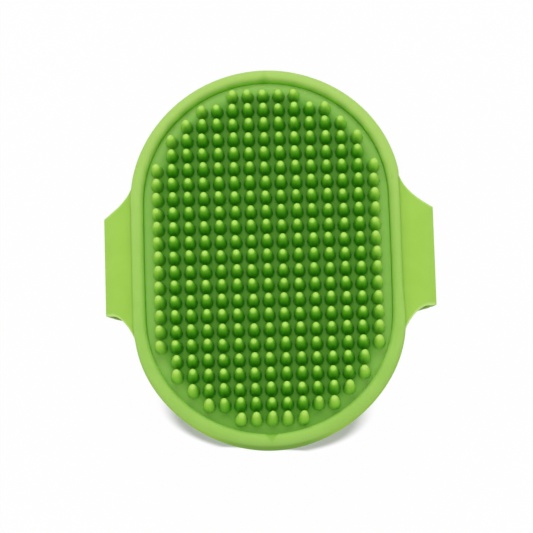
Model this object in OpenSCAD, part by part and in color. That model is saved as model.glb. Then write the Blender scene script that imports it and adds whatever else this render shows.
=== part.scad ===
// Oval grooming glove. A soft pad of rubber nubs sits in a rounded rim, and a two-part strap folds round the
// hand behind it and closes with a pair of studs. Millimetres. The nubs point up, the long side lies along Y,
// and the closed strap rests flat on the ground.

/* [Body] */
// Length over the rim
body_len = 127.5; // [112:0.5:145]
// Width over the rim
body_w = 87; // [78:1:98]
// Height of the rim, from the palm side to the crown
rim_h = 7; // [6.8:0.1:8.5]
// Width of the rim's rounded bead
rim_w = 4; // [3.8:0.1:5]
// Wall of the rim outside the seat of the pad and plate
skirt_t = 1.8; // [1.5:0.1:2]
// Height of the crown above the floor of the pad
rim_proud = 2.4; // [1.6:0.1:2.8]
// Rounding at the foot of the rim
foot_r = 0.8; // [0.4:0.1:1]
// Thickness of the palm plate
plate_t = 1.6; // [1.3:0.1:1.7]
// Thickness of the pad's flange, clamped between rim and plate
flange_t = 1; // [0.8:0.1:1.1]
// Clearance round the pad and the plate in their seat
seat_gap = 0.1; // [0.05:0.05:0.2]

/* [Posts] */
// Posts of the palm plate round each end of the body
post_count = 6; // [4:1:7]
// Diameter of a post
post_d = 1.4; // [1:0.1:1.5]
// Reach of a post into the rim
post_grip = 1.4; // [1:0.1:1.6]
// Clearance round a post where it grips the rim
post_gap = 0.05; // [0.02:0.01:0.1]

/* [Nubs] */
// Spacing of the nubs, along and across
nub_pitch = 5; // [4.6:0.1:6]
// Diameter of a nub at its foot
nub_d = 4; // [3.2:0.1:4.2]
// Diameter of the round tip
nub_tip_d = 2.6; // [2:0.1:2.8]
// Height of a nub above the floor
nub_h = 6.5; // [5:0.1:8]

/* [Ears] */
// Reach of the strap beyond the rim on each side
ear_reach = 9.3; // [9:0.1:13]
// Radius of the hollow shoulders between strap and rim
shoulder_r = 14; // [11:0.5:17]
// Slope of the ears at the creases, degrees. They leave the rim level and curve down to it
ear_droop = 44; // [38:1:50]
// Step from the crown of the rim down to the ear
ear_step = 2; // [1.8:0.1:2.2]
// Depth of the ear's tongue in the rim
tongue_len = 2.4; // [2:0.1:2.5]
// Clearance round the tongue
tongue_gap = 0.1; // [0.06:0.02:0.14]
// Lock pins through each tongue
lock_count = 5; // [3:1:5]
// Spacing of the lock pins
lock_pitch = 9; // [7:0.5:9]
// Diameter of a lock pin
lock_d = 1.2; // [0.8:0.1:1.3]
// Depth of the lock pins' ends in the rim
lock_bite = 0.2; // [0.1:0.05:0.25]

/* [Strap] */
// Width of the strap
strap_w = 33; // [28:1:38]
// Thickness of the strap
strap_t = 1.8; // [1.5:0.1:2]
// Clear height for the hand between palm plate and strap
loop_h = 30; // [24:1:38]
// Angle at which the bands leave the creases, degrees below level
fold_angle = 50; // [47:1:56]
// Radius of the bend from the slope into the flat of the strap
bend_r = 10; // [7:0.5:12]
// Clearance between the two bands where they overlap
band_gap = 0.3; // [0.2:0.05:0.5]
// Thickness of the strap at the creases
crease_t = 1.3; // [1:0.1:1.4]
// Length over which the strap thins toward a crease
thin_len = 3; // [2:0.5:4]
// Clearance between ear and band at the crease
crease_gap = 0.2; // [0.15:0.05:0.3]
// Rounding of the band ends
tip_r = 7; // [4:0.5:9]

/* [Closure] */
// Diameter of the stud heads
head_d = 4.4; // [3.6:0.1:5]
// Depth of the heads below the face of the strap
head_sink = 0.2; // [0.1:0.05:0.4]
// Diameter of the stud necks
neck_d = 3; // [2.4:0.1:3.2]
// Diameter of the flanges on the hand side
stud_flange_d = 6.4; // [5.4:0.1:7]
// Thickness of those flanges
stud_flange_t = 0.6; // [0.4:0.1:0.8]
// Clearance round the neck and flange in the band
stud_gap = 0.05; // [0.03:0.01:0.1]
// Columns of holes along the band
hole_cols = 5; // [3:2:5]
// Spacing of the columns
hole_pitch = 8; // [7:0.5:8.5]
// Spacing of the two rows across the band
row_pitch = 16; // [12:1:18]
// Clearance round a head in its hole
hole_gap = 0.15; // [0.1:0.05:0.3]
// Extra length of the holes toward the tip, for the heads to swing out
hole_play = 1; // [0.9:0.1:1.6]
// Distance from the last hole or stud to the band end
end_margin = 6.5; // [5.5:0.5:8]

/* [Hidden] */
$fn = 64;
over = 1;
bend_steps = 20;
// The ear's sheet ends a little inside its round nose
thin_share = 0.9;
// Angle between a nub's side and its round tip, so that they cross cleanly
tip_break = 14;
end_r = body_w / 2;
half_run = (body_len - body_w) / 2;
z_palm = 2 * strap_t + band_gap + loop_h;
z_pad = z_palm + plate_t;
z_lip = z_pad + flange_t;
z_floor = z_palm + rim_h - rim_proud;
crown_r = rim_w / 2;
seat_r = end_r - skirt_t;
bore_r = end_r - rim_w;
floor_r = bore_r - seat_gap;
post_r = (bore_r + seat_r) / 2;
tip_ball_r = nub_tip_d / 2;
nub_r = nub_d / 2;
ball_z = nub_h - tip_ball_r;
// Slope at which a nub's side would just touch the round tip
side_slope = acos(tip_ball_r / sqrt(nub_r * nub_r + ball_z * ball_z)) - atan2(ball_z, nub_r);
nub_cols = floor(floor_r / nub_pitch);
nub_rows = floor((floor_r + half_run) / nub_pitch);
half_t = strap_t / 2;
z_ear = z_palm + rim_h - ear_step - half_t;
crease_x = end_r + ear_reach - crease_t / 2;
ear_bend_r = (crease_x - end_r) / sin(ear_droop);
crease_z = z_ear - ear_bend_r * (1 - cos(ear_droop));
// The hollow shoulders touch the rim's round end and pass through the ends of the creases
side_drop = half_run - strap_w / 2;
corner_far = sqrt(crease_x * crease_x + side_drop * side_drop);
hollow_far = end_r + shoulder_r;
hollow_angle = acos((corner_far * corner_far + hollow_far * hollow_far - shoulder_r * shoulder_r)
    / (2 * corner_far * hollow_far)) - atan2(side_drop, crease_x);
hollow_x = hollow_far * cos(hollow_angle);
hollow_y = half_run + hollow_far * sin(hollow_angle);
root_half = half_run + end_r * sin(hollow_angle);
tongue_x = end_r - tongue_len;
lock_x = end_r - tongue_len / 2;
z_outer = half_t;
z_inner = strap_t + band_gap + half_t;
crease_angle = fold_angle + ear_droop;
root_off = (half_t + crease_gap + crease_t / 2 * cos(crease_angle)) / sin(crease_angle);
head_r = head_d / 2;
head_h = band_gap + strap_t - head_sink;
head_ball_r = (head_r * head_r + head_h * head_h) / (2 * head_h);
outer_tip = (hole_cols - 1) / 2 * hole_pitch + hole_play + end_margin;

// Flat oval with round ends of the given radius
module oval(r) {
    square([2 * r, 2 * half_run], center = true);
    for (s = [-1, 1]) {
        translate([0, s * half_run])
            circle(r);
    }
}

// Carries a section, drawn at its radius, once round the oval
module round_the_oval() {
    for (s = [0, 180]) {
        rotate([0, 0, s])
            translate([0, half_run, 0])
                rotate_extrude(angle = 180)
                    children();
        rotate([0, 0, s])
            rotate([90, 0, 0])
                linear_extrude(2 * half_run, center = true)
                    children();
    }
}

// Places a child at each fixing post, round both ends of the oval
module at_posts() {
    step = 180 / (post_count + 1);
    for (s = [0, 180]) {
        rotate([0, 0, s])
            for (k = [1 : post_count]) {
                translate([post_r * cos(k * step), half_run + post_r * sin(k * step), 0])
                    children();
            }
    }
}

// Section of the rim: rounded foot, straight wall and full round crown, with the seat cut from its inner side
module rim_section() {
    difference() {
        union() {
            translate([bore_r, foot_r])
                square([rim_w, rim_h - crown_r - foot_r]);
            translate([bore_r, 0])
                square([rim_w - foot_r, foot_r]);
            translate([end_r - foot_r, foot_r])
                circle(foot_r);
            translate([end_r - crown_r, rim_h - crown_r])
                circle(crown_r);
        }
        translate([bore_r - over, -over])
            square([rim_w - skirt_t + over, plate_t + flange_t + over]);
    }
}

// Half section of a nub: a tapered side cut off by the round tip
module nub_section() {
    tip_angle = side_slope + tip_break;
    meet_x = tip_ball_r * cos(tip_angle);
    meet_z = ball_z + tip_ball_r * sin(tip_angle);
    top_x = nub_r - nub_h * (nub_r - meet_x) / meet_z;
    intersection() {
        polygon([[0, -over], [nub_r, -over], [nub_r, 0], [top_x, nub_h], [0, nub_h]]);
        union() {
            translate([0, ball_z])
                circle(tip_ball_r);
            translate([0, -over])
                square([nub_d, ball_z + over]);
        }
    }
}

// Distance of a point from the straight run of the oval's middle
function off_middle(x, y) = sqrt(x * x + pow(max(0, abs(y) - half_run), 2));

// The soft pad: a web with a clamped flange, and a nub wherever its whole foot fits on the floor
module nub_pad() {
    color([0.6, 0.83, 0.33])
        difference() {
            union() {
                translate([0, 0, z_pad])
                    linear_extrude(flange_t)
                        oval(seat_r - seat_gap);
                translate([0, 0, z_pad])
                    linear_extrude(z_floor - z_pad)
                        oval(floor_r);
                for (i = [-nub_cols : nub_cols]) {
                    for (j = [-nub_rows : nub_rows]) {
                        if (off_middle(i * nub_pitch, j * nub_pitch) + nub_r <= floor_r) {
                            translate([i * nub_pitch, j * nub_pitch, z_floor])
                                rotate_extrude()
                                    nub_section();
                        }
                    }
                }
            }
            translate([0, 0, z_pad - over])
                at_posts()
                    cylinder(h = flange_t + 2 * over, d = post_d + 2 * seat_gap);
        }
}

// Slot for one ear's tongue in the side of the rim
module tongue_slot() {
    translate([tongue_x - tongue_gap, -root_half - tongue_gap, z_ear - half_t - tongue_gap])
        cube([tongue_len + over, 2 * (root_half + tongue_gap), strap_t + 2 * tongue_gap]);
}

// Places a child at each lock pin of the right-hand slot
module at_locks() {
    for (k = [0 : lock_count - 1]) {
        translate([lock_x, (k - (lock_count - 1) / 2) * lock_pitch, 0])
            children();
    }
}

// Rim that clamps the pad and holds both ears
module rim_frame() {
    color([0.62, 0.82, 0.36]) {
        difference() {
            translate([0, 0, z_palm])
                round_the_oval()
                    rim_section();
            for (s = [0, 180]) {
                rotate([0, 0, s])
                    tongue_slot();
            }
            translate([0, 0, z_lip - over])
                at_posts()
                    cylinder(h = post_grip + post_gap + over, d = post_d + 2 * post_gap);
        }
        for (s = [0, 180]) {
            rotate([0, 0, s])
                translate([0, 0, z_ear - half_t - tongue_gap - lock_bite])
                    at_locks()
                        cylinder(h = strap_t + 2 * (tongue_gap + lock_bite), d = lock_d);
        }
    }
}

// Stiff plate against the palm, with posts that reach through the flange into the rim
module back_plate() {
    color([0.5, 0.72, 0.27]) {
        translate([0, 0, z_palm])
            linear_extrude(plate_t)
                oval(seat_r - seat_gap);
        translate([0, 0, z_palm + plate_t / 2])
            at_posts()
                cylinder(h = plate_t / 2 + flange_t + post_grip, d = post_d);
    }
}

// Middle line of the right ear's curve, and half its thickness there, by the slope reached
function ear_mid(a) = [end_r + ear_bend_r * sin(a), z_ear - ear_bend_r * (1 - cos(a))];
function ear_half(a) = min(half_t, thin_share * crease_t / 2
    + (half_t - thin_share * crease_t / 2) * (ear_droop - a) * PI / 180 * ear_bend_r / thin_len);

// Side profile of the right ear: level tongue, then the curve down, thinned toward the crease
module ear_profile() {
    turn = [for (k = [0 : bend_steps]) ear_droop * k / bend_steps];
    back = [for (k = [0 : bend_steps]) ear_droop * (1 - k / bend_steps)];
    polygon(concat(
        [[tongue_x, z_ear - half_t]],
        [for (a = turn) ear_mid(a) - ear_half(a) * [sin(a), cos(a)]],
        [for (a = back) ear_mid(a) + ear_half(a) * [sin(a), cos(a)]],
        [[tongue_x, z_ear + half_t]]
    ));
}

// Plan of the right ear, with hollow shoulders that spread toward the rim
module ear_plan() {
    translate([tongue_x - over, -strap_w / 2])
        square([crease_x + strap_t - tongue_x + over, strap_w]);
    difference() {
        translate([tongue_x - over, -root_half])
            square([hollow_x - tongue_x + over, 2 * root_half]);
        for (s = [-1, 1]) {
            translate([hollow_x, s * hollow_y])
                circle(shoulder_r);
        }
    }
}

// Strap from the rim out to the round nose of the crease, on the right
module ear() {
    difference() {
        intersection() {
            rotate([90, 0, 0])
                linear_extrude(2 * root_half, center = true)
                    ear_profile();
            translate([0, 0, crease_z - strap_t])
                linear_extrude(z_ear - crease_z + 2 * strap_t)
                    ear_plan();
        }
        translate([0, 0, z_ear - strap_t])
            at_locks()
                cylinder(h = 2 * strap_t, d = lock_d + 2 * tongue_gap);
    }
    translate([crease_x, 0, crease_z])
        rotate([90, 0, 0])
            cylinder(h = strap_w, d = crease_t, center = true);
}

module right_ear() {
    color([0.64, 0.82, 0.36])
        ear();
}

module left_ear() {
    color([0.64, 0.82, 0.36])
        rotate([0, 0, 180])
            ear();
}

// Side profile of a right-hand band, from the crease down the slope, round the bend and along the flat
module band_profile(z_flat, tip_x) {
    bend_z = z_flat + bend_r;
    run = (crease_z - bend_z + bend_r * cos(fold_angle)) / sin(fold_angle);
    bend_x = crease_x - run * cos(fold_angle) - bend_r * sin(fold_angle);
    crease = [crease_x, crease_z];
    down = [-cos(fold_angle), -sin(fold_angle)];
    out = [sin(fold_angle), -cos(fold_angle)];
    root = crease + root_off * down;
    full = crease + (root_off + thin_len) * down;
    turn = [for (k = [0 : bend_steps]) fold_angle * (1 - k / bend_steps)];
    back = [for (k = [0 : bend_steps]) fold_angle * k / bend_steps];
    polygon(concat(
        [root - crease_t / 2 * out, root + crease_t / 2 * out, full + half_t * out],
        [for (f = turn) [bend_x, bend_z] + (bend_r + half_t) * [sin(f), -cos(f)]],
        [[tip_x, z_flat - half_t], [tip_x, z_flat + half_t]],
        [for (f = back) [bend_x, bend_z] + (bend_r - half_t) * [sin(f), -cos(f)]],
        [full - half_t * out]
    ));
}

// A right-hand band with rounded corners at its tip
module band(z_flat, tip_x) {
    difference() {
        rotate([90, 0, 0])
            linear_extrude(strap_w, center = true)
                band_profile(z_flat, tip_x);
        for (s = [0, 1]) {
            mirror([0, s, 0])
                translate([tip_x, -strap_w / 2, z_flat - strap_t])
                    linear_extrude(2 * strap_t)
                        difference() {
                            translate([-over, -over])
                                square(tip_r + over);
                            translate([tip_r, tip_r])
                                circle(tip_r);
                        }
        }
    }
}

// One hole of the outer band, a little longer toward the tip
module stud_hole() {
    hole_r = head_r + hole_gap;
    cylinder(h = strap_t + 2 * over, r = hole_r);
    translate([hole_play, 0, 0])
        cylinder(h = strap_t + 2 * over, r = hole_r);
    translate([0, -hole_r, 0])
        cube([hole_play, 2 * hole_r, strap_t + 2 * over]);
}

// Outer band with its rows of holes, from the left crease
module left_band() {
    color([0.64, 0.82, 0.36])
        difference() {
            rotate([0, 0, 180])
                band(z_outer, -outer_tip);
            for (k = [0 : hole_cols - 1]) {
                for (s = [-1, 1]) {
                    translate([(k - (hole_cols - 1) / 2) * hole_pitch, s * row_pitch / 2, -over])
                        stud_hole();
                }
            }
        }
}

// Inner band that carries the studs, from the right crease
module right_band() {
    color([0.64, 0.82, 0.36])
        difference() {
            band(z_inner, -end_margin);
            for (s = [-1, 1]) {
                translate([0, s * row_pitch / 2, z_inner - strap_t])
                    cylinder(h = 2 * strap_t, d = neck_d + 2 * stud_gap);
                translate([0, s * row_pitch / 2, z_inner + half_t - stud_flange_t])
                    cylinder(h = strap_t, d = stud_flange_d + 2 * stud_gap);
            }
        }
}

// Half section of a stud, from its flange down to the round head
module stud_section() {
    face = z_inner - half_t;
    back = z_inner + half_t;
    translate([0, back - stud_flange_t])
        square([stud_flange_d / 2, stud_flange_t]);
    translate([0, face - head_h / 2])
        square([neck_d / 2, back - stud_flange_t / 2 - face + head_h / 2]);
    intersection() {
        translate([0, head_sink + head_ball_r])
            circle(head_ball_r);
        translate([0, head_sink])
            square([head_r, head_h]);
    }
}

module stud(s) {
    color([0.55, 0.78, 0.3])
        translate([0, s * row_pitch / 2, 0])
            rotate_extrude()
                stud_section();
}

module upper_stud() {
    stud(1);
}

module lower_stud() {
    stud(-1);
}

nub_pad();
rim_frame();
back_plate();
left_ear();
right_ear();
left_band();
right_band();
upper_stud();
lower_stud();
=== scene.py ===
"""Looks of an oval grooming glove: a pad of soft nubs in a rounded rim, with a folded hand strap.

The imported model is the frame, in metres: nubs up, long side along Y, closed strap on the ground.
Sizes in the classes below are in millimetres and degrees, as a maker would give them.
"""

import logging
from collections.abc import Callable, Iterable, Sequence
from dataclasses import dataclass, field
from enum import Enum
from functools import cache
from math import acos, asin, atan2, cos, degrees, dist, hypot, pi, radians, remainder, sin, sqrt
from typing import Any

import bmesh
import bpy
from mathutils import Matrix, Vector


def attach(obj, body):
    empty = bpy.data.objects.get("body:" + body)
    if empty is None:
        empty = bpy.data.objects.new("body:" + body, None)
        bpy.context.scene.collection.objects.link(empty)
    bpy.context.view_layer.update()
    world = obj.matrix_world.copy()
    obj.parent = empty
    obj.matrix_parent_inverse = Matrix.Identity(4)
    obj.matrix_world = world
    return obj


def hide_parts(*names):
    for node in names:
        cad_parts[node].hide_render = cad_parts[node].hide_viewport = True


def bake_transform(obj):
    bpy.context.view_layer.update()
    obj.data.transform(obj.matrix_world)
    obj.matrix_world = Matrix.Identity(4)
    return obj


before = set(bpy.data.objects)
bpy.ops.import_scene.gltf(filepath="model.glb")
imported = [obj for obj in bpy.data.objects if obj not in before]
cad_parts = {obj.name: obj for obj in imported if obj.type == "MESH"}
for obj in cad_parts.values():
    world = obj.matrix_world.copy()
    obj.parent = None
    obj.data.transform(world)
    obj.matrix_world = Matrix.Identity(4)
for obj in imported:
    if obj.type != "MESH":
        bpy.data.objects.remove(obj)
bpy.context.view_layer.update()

LOG = logging.getLogger("grooming_glove")
MM = 0.001
TINY = 1e-4
# Mesh attribute: painted highlight on the strap's edges above 0, painted shade in its fold below 0,
# and the rim's knit marks below 0.
TONE = "tone"
WHITE = (1.0, 1.0, 1.0)

Point = tuple[float, float, float]
Flat = tuple[float, float]
Colour = tuple[float, float, float]
Feeds = dict[Any, Any]
Socket, Object = bpy.types.NodeSocket, bpy.types.Object


class Side(Enum):
    """A side of the glove, with the sign of X there."""

    LEFT = -1
    RIGHT = 1


# ---- Benches for nodes and meshes


class NodeBench:
    """Adds, sets and links nodes in one tree."""

    def __init__(self, tree: bpy.types.NodeTree) -> None:
        """Take a tree to work on, and empty it."""
        self.tree = tree
        tree.nodes.clear()

    def sockets(self, kind: str, *names: str, way: str = "INPUT") -> list[str]:
        """Give the tree sockets of a kind such as Float or Color, and return their identifiers."""
        new, kind = self.tree.interface.new_socket, "NodeSocket" + kind
        return [new(name=name, in_out=way, socket_type=kind).identifier for name in names]

    def add(self, kind: str, feeds: Feeds | None = None, **settings: Any) -> bpy.types.Node:
        """Add one node.

        Args:
            kind: Blender's name of the node type.
            feeds: Values or sockets for its inputs, by name or index, or lists of sockets.
            settings: Properties of the node.

        Returns:
            The new node.
        """
        node = self.tree.nodes.new(kind)
        for name, value in settings.items():
            setattr(node, name, value)
        for key, value in (feeds or {}).items():
            socket = node.inputs[key]
            for one in value if isinstance(value, list) else [value]:
                if isinstance(one, Socket):
                    self.tree.links.new(one, socket)
                else:
                    socket.default_value = (*one, 1.0) if socket.type == "RGBA" else one
        return node

    def result(self, kind: str, feeds: Feeds | None = None, **settings: Any) -> Socket:
        """Add one node and return its first output."""
        return self.add(kind, feeds, **settings).outputs[0]

    def math(self, operation: str, *terms: Any) -> Socket:
        """Return the result of one arithmetic node on the given terms."""
        return self.result("ShaderNodeMath", dict(enumerate(terms)), operation=operation)

    def times(self, one: Any, two: Any) -> Socket:
        """Return the product of two terms."""
        return self.math("MULTIPLY", one, two)

    def hypot(self, x: Any, y: Any) -> Socket:
        """Return the length of a vector in a plane."""
        return self.math("SQRT", self.math("MULTIPLY_ADD", x, x, self.times(y, y)))

    def mix(self, share: Any, low: Any, high: Any) -> Socket:
        """Return a colour between two others, by a share from 0 to 1."""
        return self.add("ShaderNodeMix", {0: share, 6: low, 7: high}, data_type="RGBA").outputs[2]

    def span(self, value: Any, low: Any, high: Any, kind: str = "SMOOTHSTEP") -> Socket:
        """Return how far a value lies between two limits, from 0 to 1."""
        feeds = {"Value": value, "From Min": low, "From Max": high}
        return self.result("ShaderNodeMapRange", feeds, interpolation_type=kind)

    def band(self, value: Any, limits: Flat) -> Socket:
        """Return how far a length lies between two limits in millimetres, from 0 to 1."""
        return self.span(value, limits[0] * MM, limits[1] * MM)

    def place(self) -> Socket:
        """Return the place on the object, in metres."""
        return self.add("ShaderNodeTexCoord").outputs["Object"]

    def seen(self) -> Socket:
        """Tell rays that show the background from those that only light things.

        Returns:
            1 on rays that show it, and 0 on others.
        """
        path = self.add("ShaderNodeLightPath").outputs
        first = self.math("MAXIMUM", path["Is Camera Ray"], path["Is Glossy Ray"])
        return self.math("MAXIMUM", first, path["Is Transmission Ray"])

    def parts(self, vector: Any) -> list[Socket]:
        """Return the X, Y and Z of a vector."""
        return list(self.add("ShaderNodeSeparateXYZ", {0: vector}).outputs)

    def vector(self, **parts: Any) -> Socket:
        """Return the vector with the given X, Y and Z."""
        return self.result("ShaderNodeCombineXYZ", parts)

    def curve(self, value: Any, heights: Sequence[float]) -> Socket:
        """Return a value read from a line through evenly spaced heights.

        Args:
            value: Position along the line, from 0 to 1.
            heights: Heights of the line's corners.

        Returns:
            The height of the line there.
        """
        node = self.add("ShaderNodeFloatCurve", {"Value": value})
        corners = node.mapping.curves[0].points
        while len(corners) < len(heights):
            corners.new(0.5, 0.5)
        for k, (corner, height) in enumerate(zip(corners, heights)):
            corner.location = (k / (len(heights) - 1), height)
            corner.handle_type = "VECTOR"
        node.mapping.update()
        return node.outputs[0]


class RepeatTree(NodeBench):
    """A geometry tree for what repeats on a piece, run once and kept as its plain mesh."""

    def __init__(self, name: str, sizes: dict[str, float], finish: "Finish") -> None:
        """Start the tree with its named inputs.

        Args:
            name: Name of the tree.
            sizes: The inputs, in metres and radians; whole numbers are counts.
            finish: Finish of the piece.
        """
        super().__init__(bpy.data.node_groups.new(name, "GeometryNodeTree"))
        self.sockets("Geometry", "Piece")
        self.sockets("Geometry", "Piece", way="OUTPUT")
        self.values: dict[str, Any] = {}
        for label, size in sizes.items():
            kind = "Int" if isinstance(size, int) else "Float"
            self.values[self.sockets(kind, label)[0]] = size
        self.values[self.sockets("Material", "Finish")[0]] = finish.material()
        self.given = self.add("NodeGroupInput").outputs

    def spot(self) -> list[Socket]:
        """Return the X, Y and Z of each point."""
        return self.parts(self.result("GeometryNodeInputPosition"))

    def draw(self, low: Any, high: Any, step: int) -> Socket:
        """Return a random number for each point, between two limits, by a step of the seed."""
        feeds = {2: low, 3: high, "Seed": self.math("ADD", self.given["Seed"], float(step))}
        return self.add("FunctionNodeRandomValue", feeds, data_type="FLOAT").outputs[1]

    def grid(self, wide: Any, long: Any, columns: Any, rows: Any) -> Socket:
        """Return a flat grid of points of the given size and counts."""
        feeds = {"Size X": wide, "Size Y": long, "Vertices X": columns, "Vertices Y": rows}
        return self.result("GeometryNodeMeshGrid", feeds)

    def moved(self, geometry: Socket, **way: Any) -> Socket:
        """Return a geometry whose points are moved by an Offset or to a Position."""
        return self.result("GeometryNodeSetPosition", {"Geometry": geometry, **way})

    def copies(self, form: Socket, points: Socket, **ways: Any) -> Socket:
        """Return real copies of a form at points, with their Rotation and Scale."""
        feeds = {"Points": points, "Instance": form, **ways}
        return self.real(self.result("GeometryNodeInstanceOnPoints", feeds))

    def real(self, geometry: Socket) -> Socket:
        """Return a geometry with its instances made real."""
        return self.result("GeometryNodeRealizeInstances", {"Geometry": geometry})

    def joined(self, more: Socket) -> Socket:
        """Return the piece with more geometry beside it."""
        return self.result("GeometryNodeJoinGeometry", {0: [self.given["Piece"], more]})

    def run(self, piece: Object, whole: Socket) -> None:
        """Finish the tree, run it on a piece and keep the result as its plain mesh.

        Args:
            piece: The piece whose mesh goes in and is replaced.
            whole: The geometry that comes out.
        """
        feeds = {"Geometry": self.real(whole), "Material": self.given["Finish"]}
        self.add("NodeGroupOutput", {"Piece": self.result("GeometryNodeSetMaterial", feeds)})
        work = piece.modifiers.new(self.tree.name, "NODES")
        work.node_group = self.tree
        for identifier, value in self.values.items():
            work[identifier] = value
        graph = bpy.context.evaluated_depsgraph_get()
        made = bpy.data.meshes.new_from_object(piece.evaluated_get(graph), depsgraph=graph)
        piece.modifiers.remove(work)
        before, piece.data = piece.data, made
        made.name = piece.name
        bpy.data.meshes.remove(before)


class Shell:
    """Points and faces of one moulding while it is built, in millimetres."""

    def __init__(self) -> None:
        """Start with nothing."""
        self.points: list[Point] = []
        self.faces: list[Sequence[int]] = []
        self.tones: list[float] = []

    def ring(self, points: Iterable[Point], tones: Iterable[float] = ()) -> range:
        """Add points.

        Args:
            points: The points, in order.
            tones: Their tones, if they have any.

        Returns:
            Their numbers.
        """
        first = len(self.points)
        self.points.extend(points)
        self.tones.extend(tones)
        return range(first, len(self.points))

    def loft(self, rings: Sequence[range], closed: bool = False) -> None:
        """Join closed rings of the same length with bands of faces.

        Args:
            rings: The rings, in order.
            closed: Whether the last ring is joined to the first.
        """
        for one, two in zip(rings, [*rings[1:], *rings[:closed]]):
            for k in range(len(one)):
                n = (k + 1) % len(one)
                self.faces.append((one[k], one[n], two[n], two[k]))

    def cap(self, *rings: range) -> None:
        """Close each of the given rings with one face."""
        self.faces.extend(rings)

    def piece(self, name: str, finish: "Finish", sharp: float = 38.0) -> Object:
        """Make the moulding a mesh object at the origin.

        Args:
            name: Name of the piece.
            finish: Finish of its surface.
            sharp: Angle in degrees past which an edge shows as an edge.

        Returns:
            The new object.
        """
        mesh = bpy.data.meshes.new(name)
        mesh.from_pydata([[c * MM for c in p] for p in self.points], [], self.faces)
        if self.tones:
            mesh.attributes.new(TONE, "FLOAT", "POINT").data.foreach_set("value", self.tones)
        mend(mesh)
        shade(mesh, sharp)
        mesh.materials.append(finish.material())
        return in_scene(name, mesh)


def mend(mesh: bpy.types.Mesh, doubled: float = 2e-6, no_area: float = 1e-7) -> None:
    """Merge doubled points, drop faces without area and turn all faces outwards.

    Args:
        mesh: Mesh to mend in place.
        doubled: Distance in metres within which points are doubled.
        no_area: Length in metres below which an edge is none.
    """
    work = bmesh.new()
    work.from_mesh(mesh)
    bmesh.ops.remove_doubles(work, verts=work.verts, dist=doubled)
    bmesh.ops.dissolve_degenerate(work, edges=work.edges, dist=no_area)
    bmesh.ops.recalc_face_normals(work, faces=work.faces)
    work.to_mesh(mesh)
    work.free()


def shade(mesh: bpy.types.Mesh, sharp: float) -> None:
    """Shade a mesh smooth, but for edges sharper than the given angle in degrees."""
    mesh.shade_smooth()
    mesh.set_sharp_from_angle(angle=radians(sharp))


def in_scene(name: str, data: bpy.types.ID, place: Matrix | None = None) -> Object:
    """Put a mesh, lamp or camera into the scene.

    Args:
        name: Name of the object.
        data: What it holds.
        place: Where it stands, if not at the origin.

    Returns:
        The new object.
    """
    obj = bpy.data.objects.new(name, data)
    if place:
        obj.matrix_world = place
    bpy.context.scene.collection.objects.link(obj)
    return obj


# ---- Lines and curves


def smooth(share: float) -> float:
    """Return a share eased at both ends, 0 below 0 and 1 above 1."""
    share = min(1.0, max(0.0, share))
    return share * share * (3 - 2 * share)


def even(count: int) -> list[float]:
    """Return shares that split a length into equal steps, without its ends."""
    return [k / count for k in range(1, count)]


def arc_points(
    centre: Flat, radius: float, start: float, stop: float, steps: int, rise: float = 1.0
) -> list[Flat]:
    """Return points along an arc.

    Args:
        centre: Centre of the arc.
        radius: Its radius.
        start: First angle.
        stop: Last angle.
        steps: Number of steps.
        rise: How much taller than wide the arc is.

    Returns:
        The points, both ends among them.
    """
    turns = [radians(start + (stop - start) * k / steps) for k in range(steps + 1)]
    x, y = centre
    return [(x + radius * cos(a), y + rise * radius * sin(a)) for a in turns]


@dataclass(frozen=True)
class Oval:
    """Straight-sided oval with round ends, whose middle line runs along Y.

    A station is a place on the middle line and an angle in radians, as seen from above.
    """

    half_run: float = 20.25
    side_bow: float = 0.37
    side_bow_run: float = 1.5
    near_bow: float = 0.2
    near_bow_power: int = 12

    @staticmethod
    def at(station: Flat, radius: float, height: float) -> Point:
        """Return the point at a station, a distance from the middle line and a height."""
        middle, angle = station
        return (radius * cos(angle), middle + radius * sin(angle), height)

    def bowed(self, station: Flat, radius: float) -> float:
        """Return a radius that bows out in the middle of the long sides and at the near end."""
        along = (station[0] + radius * sin(station[1])) / (self.side_bow_run * self.half_run)
        return (
            radius + self.side_bow * max(0.0, 1.0 - along * along)
            + self.near_bow * max(0.0, -sin(station[1])) ** self.near_bow_power
        )

    def reach(self, bench: NodeBench, place: Any, half_run: Any = None) -> Socket:
        """Return how far a place lies from the middle line, seen from above.

        Args:
            bench: Tree to build in.
            place: The place, in metres.
            half_run: Half the length of the middle line in metres, if not the oval's own.

        Returns:
            The distance, in metres.
        """
        x, y, _ = bench.parts(place)
        run = self.half_run * MM if half_run is None else half_run
        beyond = bench.math("SUBTRACT", bench.math("ABSOLUTE", y), run)
        return bench.hypot(bench.math("MAXIMUM", beyond, 0.0), x)

    def stations(self, arc: Sequence[float] = tuple(even(56)), run_steps: int = 20) -> list[Flat]:
        """List stations once round, from the middle of the right side.

        Args:
            arc: Shares from 0 to 1 along a round end, without its two ends.
            run_steps: Steps along a straight side.

        Returns:
            The stations.
        """
        out: list[Flat] = []
        for turn, sign in ((0.0, 1.0), (pi, -1.0)):
            for k in range(run_steps + 1):
                out.append((sign * self.half_run * (2 * k / run_steps - 1), turn))
            out.extend((sign * self.half_run, turn + pi * share) for share in arc)
        return out


OVAL = Oval()


# ---- Finishes


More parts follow.
